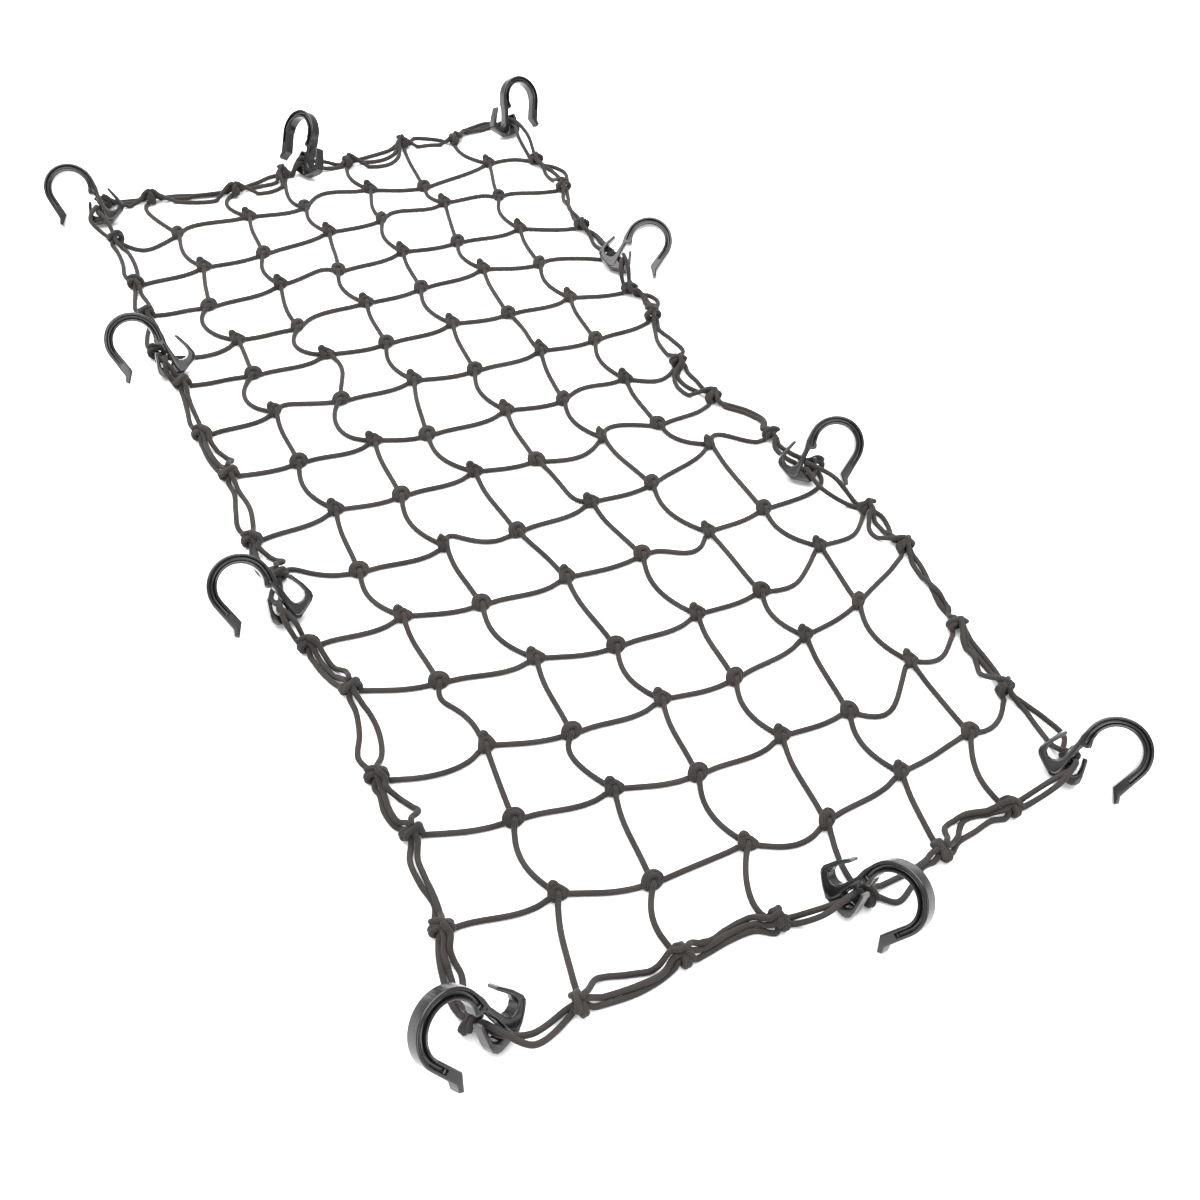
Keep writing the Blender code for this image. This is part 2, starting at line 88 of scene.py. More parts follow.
# The knots that have slid out of their row.
slidColumns = ("row", "col", "x", "y")
slidKnots = (
    (0, 0, 7, 3),
    (0, 1, -14, 3),
    (0, 2, 3, -2),
    (0, 3, -8, 3),
    (0, 5, 0, 4),
    (0, 6, -3, -4),
    (0, 7, 0, 3),
    (1, 0, 1, 1.5),
    (1, 5, -4, -10),
    (1, 6, 7, 5),
    (1, 7, 0, 3),
    (2, 0, 5, 0),
    (2, 7, 1, 3),
    (3, 0, 1.5, 3),
    (3, 7, 3, -2),
    (5, 0, -4, 0),
    (5, 7, 4, 0),
    (6, 0, 2.5, -1),
    (7, 0, -2.5, -1),
    (7, 3, -8, -2),
    (7, 7, 3, 2),
    (8, 0, -3, -1),
    (8, 7, -1, 2),
    (9, 6, 2, 10),
    (10, 0, -1, 0),
    (10, 4, 7, 5),
    (11, 0, 0, -2),
    (11, 7, 3, -2),
    (12, 0, -3, -0.5),
    (13, 0, -5, -2.5),
    (13, 7, -1.5, -4),
    (14, 0, -3, -3.5),
    (14, 6, 8, 2),
    (14, 7, -9, -1),
    (15, 0, -3, 8),
    (15, 2, -1, -2),
    (15, 3, 7, 3),
    (15, 4, -2, -7),
    (15, 5, 4, 3),
    (15, 7, 8, 7),
)

# How a strand leaves one knot and arrives at the next: degrees to the left of the straight line to the
# other knot, and how far it keeps that way, as a part of that line. A flat knot sends its strands off
# otherwise than one with a nub.
wayColumns = ("strand", "fromFlat", "leave", "arrive", "keepLeave", "keepArrive")
strandWays = (
    ("across", True, 1, 18, 1.1, 1.2),
    ("across", False, -5, 8, 1.5, 1.3),
    ("down", True, -27, 26, 1.1, 1.3),
    ("down", False, -9, 1, 1.2, 1.25),
)

# The strands that hang otherwise, by the knot they start from.
oddColumns = ("strand", "row", "col", "leave", "arrive", "keepLeave", "keepArrive")
oddStrands = (
    ("down", 0, 1, -75, 15, 0.7, 1.4),
    ("down", 0, 2, -75, 60, 1.4, 1.1),
    ("down", 0, 3, -25, 55, 1.2, 0.9),
    ("across", 1, 0, -75, 45, 1.9, 1.9),
    ("across", 1, 1, 45, -25, 0.9, 1.1),
    ("across", 1, 3, 45, -15, 1.7, 1.2),
    ("across", 1, 6, 20, -30, 1.4, 1.2),
    ("across", 2, 4, 60, 25, 1.2, 1.2),
    ("across", 2, 5, 10, -45, 1.6, 0.9),
    ("across", 2, 6, 45, 5, 0.8, 1.4),
    ("down", 3, 1, -75, 45, 0.9, 1.5),
    ("across", 3, 2, 5, -65, 1.4, 1.0),
    ("across", 4, 0, -40, 55, 1.7, 0.7),
    ("across", 4, 2, 45, -10, 1.1, 1.1),
    ("across", 4, 6, 55, -30, 0.6, 0.7),
    ("down", 4, 2, -70, 55, 1.3, 1.6),
    ("down", 5, 1, -70, 55, 0.9, 1.7),
    ("down", 5, 2, 35, -5, 1.2, 1.2),
    ("down", 5, 5, 10, 5, 1.5, 1.0),
    ("across", 6, 1, 55, 5, 0.6, 2.0),
    ("down", 6, 2, -75, 65, 0.6, 1.7),
    ("across", 7, 5, 30, 0, 1.5, 1.1),
    ("across", 7, 6, -35, 45, 1.5, 1.6),
    ("across", 8, 4, -25, 30, 1.6, 1.2),
    ("across", 8, 5, 60, -25, 1.0, 1.2),
    ("down", 8, 4, 0, 45, 1.5, 0.8),
    ("across", 9, 0, 60, 5, 0.8, 2.0),
    ("across", 9, 2, 75, 20, 1.1, 2.0),
    ("across", 9, 6, 65, 30, 1.4, 1.2),
    ("down", 9, 3, 5, -5, 1.1, 1.3),
    ("across", 10, 4, 5, 60, 1.1, 2.0),
    ("across", 10, 6, -20, 65, 0.9, 1.1),
    ("across", 11, 5, -35, 30, 1.2, 1.9),
    ("across", 11, 6, -25, 40, 1.6, 1.6),
    ("down", 11, 1, -35, -10, 1.0, 2.0),
    ("across", 12, 0, -30, 45, 1.0, 1.0),
    ("down", 12, 2, -55, 25, 1.0, 0.9),
    ("across", 13, 5, -60, 30, 1.5, 1.6),
    ("across", 13, 6, -45, 45, 1.4, 1.6),
    ("across", 14, 3, -25, 50, 1.3, 1.3),
    ("across", 14, 6, -40, 40, 1.3, 0.9),
    ("down", 14, 3, -45, 75, 1.2, 0.8),
)

# The border's strands from knot to knot, clockwise from the far left corner, outermost strand first. Three
# numbers are how far a strand lies out from the straight line between the knots at each quarter of it. Two
# are its bow before and after a hook's eye.
borderSpans = {
    "far": (
        ((4.5, 4, 4), (1.5, 0.5, 1), (-3.5, -4, -4)),
        ((4.5, 3, 2.5), (0.5, 0, 0), (-4, -8, -8)),
        ((4, 4, 5), (0, -3, -5), (-9, -14.5, -13)),
        ((0.5, 2.5), (-0.5, -2.5)),
        ((2, 0.5, 0), (-5, -10, -7), (-14, -19, -13)),
        ((11, 9.5, 5.5), (-3.5, -2, -2.5)),
        ((12, 15.5, 16), (9, 10, 10.5), (7, 7, 7)),
    ),
    "right": (
        ((1, 3), (-1, -4)),
        ((10.5, 15, 10.5), (4.5, 6.5, 5.5), (0, -2, -1)),
        ((0.5, -2.5, 1.5), (-4, -3.5, -2.5)),
        ((6.5, 7, 7), (4, 4, 4.5), (0.5, -1.5, 0.5)),
        ((1, 2), (-1, -2)),
        ((12, 15, 8), (7, 7.5, 7), (3.5, 4, 3.5)),
        ((0.5, 6, 9.5), (-3, -5.5, -4)),
        ((1.5, 1.5, 1), (-7.5, -9, -4), (-10.5, -15, -12.5)),
        ((5.5, 10.5, 10.5), (1.5, 7, 7.5)),
        ((-1.5, -1.5, 1), (-6, -8, -6)),
        ((0, 5), (-1, -6)),
        ((6, 3.5, -1), (-1, -2, -2), (-5.5, -10.5, -6.5)),
        ((3.5, 1.5, -0.5), (-1, 0, 3.5)),
        ((3.5, 4, 4), (0, 0, 0.5), (-3.5, -3, -6.5)),
        ((5.5, 9, 10), (2, 0.5, -1)),
    ),
    "near": (
        ((0.5, 2.5), (-1, -1)),
        ((0, 0, 0), (-4.5, -8, -1.5), (-5, -10, -10)),
        ((1, 6.5, 9.5), (0, -0.5, -1.5)),
        ((1, 3), (0, 0)),
        ((0, 0, 2), (-3, -2.5, 0), (-6.5, -5.5, -2)),
        ((5, 6, 4.5), (4, 3.5, 1.5), (-0.5, -4, -8)),
        ((9, 1), (4, 1)),
    ),
    "left": (
        ((5, 5.5, 4.5), (2, 2, 2), (-1, -3, -1)),
        ((-0.5, 3, 4.5), (-1.5, -0.5, 0.5)),
        ((5, 5.5, 3), (3, 3, 1), (-9, -6, -1)),
        ((6, 2, 0.5), (-6.5, -8, -5.5)),
        ((4, 4.5, 3.5), (0.5, 1.5, 0.5), (-4, -2.5, -2.5)),
        ((2, 2), (-1.5, -1.5)),
        ((6.5, 6.5, 4.5), (4, 4, 2), (-8, -4.5, -0.5)),
        ((5, 3, 0.5), (-4, -5.5, -3)),
        ((4, 4.5, 3.5), (1.5, 2.5, 1.5), (-7, -4.5, -2)),
        ((4, 3, 2), (-1.5, -1, -1)),
        ((2.5, 2.5), (-0.5, -0.5)),
        ((4.5, 3, 0), (-5.5, -5.5, -4.5)),
        ((5.5, 4.5, 2.5), (-4.5, -3.5, -1.5)),
        ((4.5, 2.5, 2.5), (-4.5, -5.5, -4)),
        ((8, 1), (-2, 0)),
    ),
}


def named(columns, rows):
    return [dict(zip(columns, row)) for row in rows]


def turned(degrees):
    return Vector((math.cos(math.radians(degrees)), math.sin(math.radians(degrees))))


def bearing(vector):
    return math.degrees(math.atan2(vector.y, vector.x))


def flat3(vector, z=0.0):
    return Vector((vector.x, vector.y, z))


def throughFour(u, first, third, twoThirds, last):
    return (
        -4.5 * first * (u - 1 / 3) * (u - 2 / 3) * (u - 1)
        + 13.5 * third * u * (u - 2 / 3) * (u - 1)
        - 13.5 * twoThirds * u * (u - 1 / 3) * (u - 1)
        + 4.5 * last * u * (u - 1 / 3) * (u - 2 / 3)
    )


def isFlat(row, col):
    return (row + col) % 2 == 0


def onEdge(place):
    return place[0] in (0, net["along"] - 1) or place[1] in (0, net["across"] - 1)


def knotPlaces():
    places = {}
    for row, line in enumerate(named(rowColumns, knotRows)):
        for col in range(net["across"]):
            u = col / (net["across"] - 1)
            x = line["left"] * (1 - u) + line["right"] * u
            y = throughFour(u, line["yLeft"], line["yThird"], line["yTwoThirds"], line["yRight"])
            sign = 1 if isFlat(row, col) else -1
            place = Vector((x + sign * net["zig"][0], y + sign * net["zig"][1]))
            places[row, col] = place + Vector(net["centre"])
    for slid in named(slidColumns, slidKnots):
        places[slid["row"], slid["col"]] += Vector((slid["x"], slid["y"]))
    return places


def innerStrands():
    ways = {(way["strand"], way["fromFlat"]): way for way in named(wayColumns, strandWays)}
    odd = {(way["strand"], way["row"], way["col"]): way for way in named(oddColumns, oddStrands)}
    strands = []
    for row in range(1, net["along"] - 1):
        for col in range(net["across"] - 1):
            way = odd.get(("across", row, col), ways["across", isFlat(row, col)])
            strands.append(((row, col), (row, col + 1), "E", "W", way))
    for row in range(net["along"] - 1):
        for col in range(1, net["across"] - 1):
            way = odd.get(("down", row, col), ways["down", isFlat(row, col)])
            strands.append(((row, col), (row + 1, col), "S", "N", way))
    return strands


def borderLine():
    lastRow = net["along"] - 1
    lastCol = net["across"] - 1
    spans = [("far", k, (0, k), (0, k + 1)) for k in range(lastCol)]
    spans += [("right", k, (k, lastCol), (k + 1, lastCol)) for k in range(lastRow)]
    spans += [("near", k, (lastRow, lastCol - k), (lastRow, lastCol - k - 1)) for k in range(lastCol)]
    spans += [("left", k, (lastRow - k, 0), (lastRow - k - 1, 0)) for k in range(lastRow)]
    return spans


# Hook: one flat moulding, in its own s, n plane. s runs along the shank towards the ring, and n towards the
# side on which the ring is open. Angles are degrees from s to n.
hook = {
    "thick": 8.0,
    "ringMid": (30.8, 15.2),
    "ringOut": 18.6,
    "ringIn": 12.9,
    "innerFrom": -112.0,  # the ring's inner edge runs from the nose to the arm
    "innerTo": 96.0,
    "outerFrom": 94.0,  # and its outer edge from the arm to the shoulder
    "outerTo": -94.0,
    "armTip": ((15.0, 27.0), (8.7, 33.4), (10.8, 34.9), (14.2, 32.9)),
    "nose": ((17.0, 1.6), (20.0, 1.8), (20.9, 3.6), (22.2, 5.0), (24.0, 4.5)),
    "shoulder": ((24.0, -3.2), (18.5, -1.8)),
    "crown": (-3.2, 0.0),
    # the outer edge of an eye from the crown to its tip, then its hole back to the shank
    "openEye": (
        (-0.4, 8.5), (0.8, 11.4), (2.4, 13.3), (4.8, 14.1), (11.5, 13.3),
        (19.6, 10.9), (20.6, 9.9), (19.6, 8.8), (12.0, 10.6), (7.8, 11.0),
        (5.4, 9.8), (4.2, 7.4), (4.4, 4.6), (5.8, 2.6), (8.2, 1.8),
    ),
    "cordEye": (
        (-0.4, 8.5), (0.6, 11.4), (2.2, 13.2), (4.4, 13.8), (7.6, 12.8),
        (16.2, 8.6), (17.0, 7.4), (16.0, 6.4), (10.0, 9.3), (7.4, 9.9),
        (5.4, 9.0), (4.2, 7.0), (4.4, 4.4), (5.8, 2.6), (8.2, 1.8),
    ),
    # a bead runs from the open eye past the crown and up the shank, and another along the ring's inner rim
    "rib": ((4.0, -12.3), (1.9, -10.6), (-0.9, 0.6), (20.0, 0.2)),
    "ribThick": 1.4,
    "ribSunk": 0.1,  # a bead's middle lies this far under the face
    "ribStep": 1.5,
    "rimStep": 15.0,  # degrees from one point of the ring's bead to the next
    "channelDeep": 2.4,
    "channelRim": 1.5,  # what is left between the channel and the ring's edges
    "channelRound": 1.1,  # its floor is nearly a half round
    "channelFrom": -104.0,
    "channelTo": 90.0,
    "armEnd": ((22.5, 29.2), (22.5, 31.8)),  # it runs on into the arm and into the nose
    "noseEnd": ((22.3, -0.4), (22.6, 2.3)),
    "cutterPast": 1.0,  # the cutter's middle stands this far out of the face
    "arcStep": 5.0,  # degrees from one point of the ring to the next
    "footStep": 18.0,  # and where the outline is only needed to find what the hook stands on
    "edgeRound": 0.8,  # rounding of the moulding's outer edges
    "rimRound": 0.6,  # and of the channel's rims
    "roundParts": 2,
    "rimAngle": 50,  # edges sharper than this many degrees are rims
    "smoothTo": 35,  # edges flatter than this are shaded smooth
    "weld": 0.02,  # points nearer than this are merged
    "eyeWays": ((10.9, 4.9), (7.1, 5.6)),  # s and n where the two cords pass their eye, outermost first
    "eyePast": 2.0,  # a cord runs straight this far out of each face
    "eyeLine": 6.0,  # and is aimed at a point up to this much further out
    "bowAt": 0.6,  # its bow is this part of the way from its knot to that point
    "knotHigh": 4,  # taken as the height of a knot's strands
}
hookColumns = ("name", "edge", "span", "side", "x", "y", "heading", "lean")
hookRows = (
    ("hook_far_left", "left", 14, -1, -169, 348, 169, 40),
    ("hook_far_middle", "far", 3, -1, -6, 365, 105, 30),
    ("hook_far_right", "right", 0, 1, 181, 375, 13, 30),
    ("hook_right_far", "right", 4, 1, 167, 153, -41, 47),
    ("hook_right_near", "right", 10, 1, 161, -112, -34, 42),
    ("hook_near_right", "near", 0, 1, 156.5, -370, -57, 46),
    ("hook_near_middle", "near", 3, 1, 2, -377, -81, 28),
    ("hook_near_left", "near", 6, -1, -167.5, -369.5, -157.5, 37),
    ("hook_left_near", "left", 5, -1, -173, -98.5, 181, 46),
    ("hook_left_far", "left", 10, -1, -171, 146, 178, 31),
)


def arc(middle, radius, start, end, step):
    count = max(2, round(abs(end - start) / step))
    angles = (start + (end - start) * k / count for k in range(count + 1))
    return [(middle[0] + radius * turned(a).x, middle[1] + radius * turned(a).y) for a in angles]


def hookOutline(step):
    points = [hook["crown"]]
    points += hook["cordEye"]
    points += hook["nose"]
    points += arc(hook["ringMid"], hook["ringIn"], hook["innerFrom"], hook["innerTo"], step)
    points += hook["armTip"]
    points += arc(hook["ringMid"], hook["ringOut"], hook["outerFrom"], hook["outerTo"], step)
    points += hook["shoulder"]
    points += [(s, -n) for s, n in reversed(hook["openEye"])]
    return points


def hookStance(row):
    # standing on its crown and its toe: a map from the hook's own s, n and height to the floor's frame
    heading = math.radians(row["heading"])
    lean = math.radians(row["lean"])
    crown = Vector(hook["crown"])
    along = (Vector(hook["armTip"][1]) - crown).normalized()
    over = Vector((along.y, -along.x))
    face = Vector((math.sin(heading), -math.cos(heading), 0)) * row["side"]
    up = Vector((0, 0, 1))
    out = Vector((math.cos(heading), math.sin(heading), 0))
    normal = face * math.cos(lean) + up * math.sin(lean)
    rise = up * math.cos(lean) - face * math.sin(lean)
    sWay = out * along.x + rise * over.x
    nWay = out * along.y + rise * over.y
    turn = Matrix((sWay, nWay, normal)).transposed()
    foot = Vector((row["x"] + net["centre"][0], row["y"] + net["centre"][1], 0)) - turn @ flat3(crown)
    outline = hookOutline(hook["footStep"])
    foot.z -= min((turn @ Vector((s, n, -hook["thick"] / 2)) + foot).z for s, n in outline)
    return Matrix.Translation(foot) @ turn.to_4x4()


hooks = named(hookColumns, hookRows)
for row in hooks:
    row["stance"] = hookStance(row)
stances = {(row["edge"], row["span"]): row["stance"] for row in hooks}


def spread(ends):
    # turns strands that leave one knot too close together apart
    for _ in range(net["rounds"]):
        ends.sort(key=lambda end: end["angle"] % 360)
        for k, end in enumerate(ends):
            after = ends[(k + 1) % len(ends)]
            gap = (after["angle"] - end["angle"]) % 360
            lack = end["half"] + after["half"] - gap
            if lack > 0:
                end["angle"] -= lack * 0.5
                after["angle"] += lack * 0.5


def eyePoints(stance, knot, number):
    foot = stance @ flat3(Vector(hook["crown"]))
    normal = (stance.to_3x3() @ Vector((0, 0, 1))).normalized()
    away = normal.dot(Vector((knot.x, knot.y, hook["knotHigh"])) - foot)
    face = math.copysign(hook["thick"] / 2 + hook["eyePast"], away)
    reach = face + math.copysign(min(hook["eyeLine"], 0.5 * abs(away - face)), away)
    s, n = hook["eyeWays"][number]
    return stance @ Vector((s, n, reach)), stance @ Vector((s, n, face))


places = knotPlaces()
knotEnds = {place: {} for place in places}
for start, end, leaving, arriving, way in innerStrands():
    line = bearing(places[end] - places[start])
    knotEnds[start][leaving] = {"angle": line + way["leave"]}
    knotEnds[end][arriving] = {"angle": line + way["arrive"] + 180}
for edge, number, start, end in borderLine():
    count = len(borderSpans[edge][number])
    leave = {"angle": bearing(places[end] - places[start]), "count": count}
    arrive = {"angle": bearing(places[start] - places[end]), "count": count}
    if (edge, number) in stances:
        for knotEnd, place in ((leave, places[start]), (arrive, places[end])):
            ways = [eyePoints(stances[edge, number], flat3(place), k)[0] for k in (0, 1)]
            knotEnd["angle"] = bearing((ways[0] + ways[1]).xy / 2 - place)
    knotEnds[start]["after"] = leave
    knotEnds[end]["before"] = arrive
for place, ends in knotEnds.items():
    reach = net["edgeReach"] if onEdge(place) else net["reach"]
    for end in ends.values():
        wide = max(net["beside"][end.get("count", 1)]) + cord["thick"] / 2
        end["half"] = math.degrees(math.atan2(wide, reach)) + net["apart"]
    spread(list(ends.values()))
    for end in ends.values():
        way = turned(end["angle"])
        left = Vector((-way.y, way.x))
        end["way"] = flat3(way)
        end["points"] = []
        for offset in net["beside"][end.get("count", 1)]:
            end["points"].append(flat3(places[place] + way * reach + left * offset, cord["thick"] / 2))
print("knots laid out:", len(places))


def hermite(start, leave, end, arrive, keepLeave, keepArrive, parts):
    reach = (end - start).length
    points = []
    for k in range(1, parts):
        t = k / parts
        points.append(
            start * (2 * t**3 - 3 * t**2 + 1)
            + leave * (t**3 - 2 * t**2 + t) * reach * keepLeave
            + end * (3 * t**2 - 2 * t**3)
            + arrive * (t**3 - t**2) * reach * keepArrive
        )
    return points


def smoothLine(points, step):
    # a centripetal Catmull-Rom line through the points, in steps of about the given length
    ends = [points[0] * 2 - points[1]] + list(points) + [points[-1] * 2 - points[-2]]
    line = [points[0]]
    for k in range(1, len(ends) - 2):
        a, b, c, d = ends[k - 1 : k + 3]
        t = [0.0]
        for p, q in ((a, b), (b, c), (c, d)):
            t.append(t[-1] + max((q - p).length, 1e-6) ** 0.5)
        span = (c - b).length
        count = math.ceil(span / (step if span > cord["close"] else step / 2))
        for n in range(1, count + 1):
            u = t[1] + (t[2] - t[1]) * n / count
            ab = a.lerp(b, (u - t[0]) / (t[1] - t[0]))
            bc = b.lerp(c, (u - t[1]) / (t[2] - t[1]))
            cd = c.lerp(d, (u - t[2]) / (t[3] - t[2]))
            abc = ab.lerp(bc, (u - t[0]) / (t[2] - t[0]))
            bcd = bc.lerp(cd, (u - t[1]) / (t[3] - t[1]))
            line.append(abc.lerp(bcd, (u - t[1]) / (t[2] - t[1])))
    return line


def cordSkin(name, lines, material):
    # one mesh of round tubes with domed ends; the UV map holds metres round and along each cord
    verts, faces, uvs = [], [], []
    sides = cord["sides"]
    for line in lines:
        radius = cord["thick"] / 2
        base = len(verts)
        side = None
        run = 0.0
        runs = []
        for point in line:
            point.z = max(point.z, radius)
        for k, point in enumerate(line):
            before = line[max(0, k - 1)]
            after = line[min(len(line) - 1, k + 1)]
            way = (after - before).normalized()
            if side is None:
                side = way.orthogonal().normalized()
            side = (side - way * side.dot(way)).normalized()
            other = way.cross(side)
            if k:
                run += (point - before).length
            runs.append(run)
            for n in range(sides):
                turn = 2 * math.pi * n / sides
                verts.append((point + (side * math.cos(turn) + other * math.sin(turn)) * radius) * mm)
        for k in range(len(line) - 1):
            for n in range(sides):
                m = (n + 1) % sides
                near = base + k * sides
                far = near + sides
                faces.append((near + n, near + m, far + m, far + n))
                left, right = n / sides, (n + 1) / sides
                uvs += [(left, runs[k]), (right, runs[k]), (right, runs[k + 1]), (left, runs[k + 1])]
        for end, order in ((0, -1), (len(line) - 1, 1)):
            ring = [base + end * sides + n for n in range(sides)]
            neighbour = line[1] if end == 0 else line[-2]
            tip = line[end] + (line[end] - neighbour).normalized() * radius * cord["dome"]
            verts.append(tip * mm)
            for n in range(sides):
                m = (n + 1) % sides
                pair = (ring[n], ring[m]) if order > 0 else (ring[m], ring[n])
                faces.append((*pair, len(verts) - 1))
                left, right, middle = n / sides, (n + 1) / sides, (n + 0.5) / sides
                uvs += [(left, runs[end]), (right, runs[end]), (middle, runs[end] + radius)]
    mesh = bpy.data.meshes.new(name)
    mesh.from_pydata(verts, [], faces)
    layer = mesh.uv_layers.new(name="cord")
    flat = np.array(uvs, dtype=np.float32)
    flat[:, 0] *= math.pi * cord["thick"] * mm
    flat[:, 1] *= mm
    layer.data.foreach_set("uv", flat.ravel())
    mesh.polygons.foreach_set("use_smooth", np.ones(len(mesh.polygons), dtype=bool))
    mesh.update()
    made = bpy.data.objects.new(name, mesh)
    bpy.context.collection.objects.link(made)
    mesh.materials.append(material)
    print(name, "skinned:", len(lines), "cords,", len(faces), "faces")
    return made


# A mesh knot. The cord across loops once round the cord that comes down, which rises over it and runs on.
# Each point is how far towards the four strands it lies, and how high: (W, E, N, S, z).
knotColumns = ("W", "E", "N", "S", "z")
knotLoop = (
    (2.6, 0, 0, 1.6, 1.6),
    (0, 2.0, 0, 2.2, 1.7),
    (0, 4.6, 0, 0.4, 2.6),
    (0, 4.6, 1.6, 0, 4.2),
    (0, 2.4, 3.8, 0, 5.4),
    (2.2, 0, 3.8, 0, 5.6),
    (4.6, 0, 1.4, 0, 4.6),
    (4.4, 0, 0, 0.8, 3.0),
    (1.6, 0, 0, 0.6, 1.8),
    (0, 2.8, 0.3, 0, 1.6),
)
nubLoop = (
    (2.6, 0, 0, 1.6, 1.6),
    (0, 2.0, 0, 2.2, 1.7),
    (0, 4.6, 0, 0.2, 2.8),
    (0, 3.6, 2.0, 0, 4.6),
    (0, 1.9, 3.4, 0, 6.2),
    (0, 1.3, 3.7, 0, 7.6),
    (0, 0, 3.8, 0, 8.2),
    (1.3, 0, 3.6, 0, 7.6),
    (1.9, 0, 3.0, 0, 6.2),
    (3.6, 0, 1.2, 0, 5.2),
    (4.6, 0, 0, 0.8, 3.6),
    (2.8, 0, 0, 1.0, 2.1),
    (0, 0.4, 0, 0.2, 1.6),
    (0, 2.8, 0.2, 0, 1.6),
)
innerTurn = (
    (2.4, 0, 0, 2.0, 3.0),
    (2.7, 0, 0.8, 0, 4.9),
    (1.0, 0, 2.0, 0, 6.3),
    (0, 1.0, 2.0, 0, 6.3),
    (0, 2.7, 0.8, 0, 4.9),
    (0, 2.4, 0, 2.0, 3.0),
)
knotThrough = (
    (0, 0, 3.0, 0, 2.0),
    (0, 0, 1.0, 0, 3.6),
    (0, 0, 0, 1.9, 4.9),
)


def knotPoints(place, table):
    ends = knotEnds[place]
    middle = flat3(places[place])
    points = []
    for row in named(knotColumns, table):
        point = middle.copy()
        for key in "WENS":
            point += ends[key]["way"] * row[key]
        point.z = row["z"]
        points.append(point)
    return points


def strandPoints(start, end, leaving, arriving, way):
    first = knotEnds[start][leaving]
    last = knotEnds[end][arriving]
    a, b = first["points"][0], last["points"][0]
    keep = (way["keepLeave"], way["keepArrive"])
    points = [a] + hermite(a, first["way"], b, last["way"] * -1, *keep, cord["parts"]) + [b]
    if leaving == "S" and not onEdge(start):
        points[0] = a + Vector((0, 0, net["over"][0]))
        points[1] = points[1] + Vector((0, 0, net["over"][1]))
    return points


# A border knot: the mesh strand winds round the bundle of strands, runs over its own turns and ends on top
wrap = {
    "turns": 2.0,
    "long": 3.3,  # how far the turns' middle line runs along the bundle
    "widest": 5.3,  # from the bundle's middle to the turns' own
    "high": 4.8,  # height of the bundle's middle
    "part": 40.0,  # degrees from one point of a turn to the next
    "tail": ((0.9, -3.6, 8.3), (-0.9, -1.0, 9.9), (-2.4, 2.0, 9.3), (-3.4, 4.2, 7.4)),  # (along, out, z)
    "tailWide": 4.9,  # the width of the turns that the tail is laid out for
    "core": 0.1,  # the bundle's strands end this part of the way out from the knot's middle
    "dip": 0.6,  # and follow a line that falls this far to where they leave the knot
}


def wrapWide(place):
    count = max(knotEnds[place][key].get("count", 1) for key in ("before", "after"))
    return min(max(net["beside"][count]) + cord["thick"], wrap["widest"])


def wrapPoints(place, mirrored):
    ends = knotEnds[place]
    middle = flat3(places[place])
    along = (ends["after"]["way"] - ends["before"]["way"]).normalized()
    out = Vector((-along.y, along.x, 0))
    sign = -1 if mirrored else 1
    wide = wrapWide(place)
    count = round(wrap["turns"] * 360 / wrap["part"])
    made = []
    for k in range(count + 1):
        turn = turned(k * wrap["part"])
        gone = wrap["long"] * (k / count - 0.5)
        point = middle + along * sign * gone - out * turn.x * wide
        point.z = wrap["high"] + turn.y * cord["thick"]
        made.append(point)
    for gone, far, z in wrap["tail"]:
        point = middle + along * sign * gone + out * far * wide / wrap["tailWide"]
        point.z = z
        made.append(point)
    return made


def meshCords():
    strands = {(start, leaving): strandPoints(start, end, leaving, arriving, way)
               for start, end, leaving, arriving, way in innerStrands()}
    lines = []
    for row in range(1, net["along"] - 1):
        points = wrapPoints((row, 0), row % 2 == 0)[::-1]
        for col in range(net["across"] - 1):
            points += strands[(row, col), "E"]
            if col < net["across"] - 2:
                place = (row, col + 1)
                points += knotPoints(place, knotLoop if isFlat(*place) else nubLoop)
        points += wrapPoints((row, net["across"] - 1), row % 2 == 1)
        lines.append(smoothLine(points, cord["step"]))
    for col in range(1, net["across"] - 1):
        points = wrapPoints((0, col), col % 2 == 0)[::-1]
        for row in range(net["along"] - 1):
            points += strands[(row, col), "S"]
            if row < net["along"] - 2:
                points += knotPoints((row + 1, col), knotThrough)
        points += wrapPoints((net["along"] - 1, col), col % 2 == 1)
        lines.append(smoothLine(points, cord["step"]))
    for place in places:
        if not onEdge(place):
            lines.append(smoothLine(knotPoints(place, innerTurn), cord["step"]))
    return lines


def stacked(lines):
    # each line is lifted over the ones before it wherever they would share room, with an even rise and fall
    thick = cord["thick"]
    laid = []
    for line in lines:
        rail = np.array([tuple(p) for p in line])
        lift = rail[:, 2].copy()
        for under in laid:
            gap = np.hypot(rail[:, None, 0] - under[None, :, 0], rail[:, None, 1] - under[None, :, 1])
            over = np.sqrt(np.clip(thick**2 - gap**2, 0, None))
            meet = (gap < thick) & (np.abs(lift[:, None] - under[None, :, 2]) < over)
            need = np.where(meet, under[None, :, 2] + over, 0)
            lift = np.maximum(lift, need.max(axis=1))
        run = np.concatenate(([0], np.cumsum(np.linalg.norm(np.diff(rail, axis=0), axis=1))))
        apart = np.abs(run[:, None] - run[None, :])
        lift = np.maximum(lift, (lift[None, :] - cord["rise"] * apart).max(axis=1))
        rail[:, 2] = lift
        laid.append(rail)
    return [[Vector(p) for p in rail] for rail in laid]


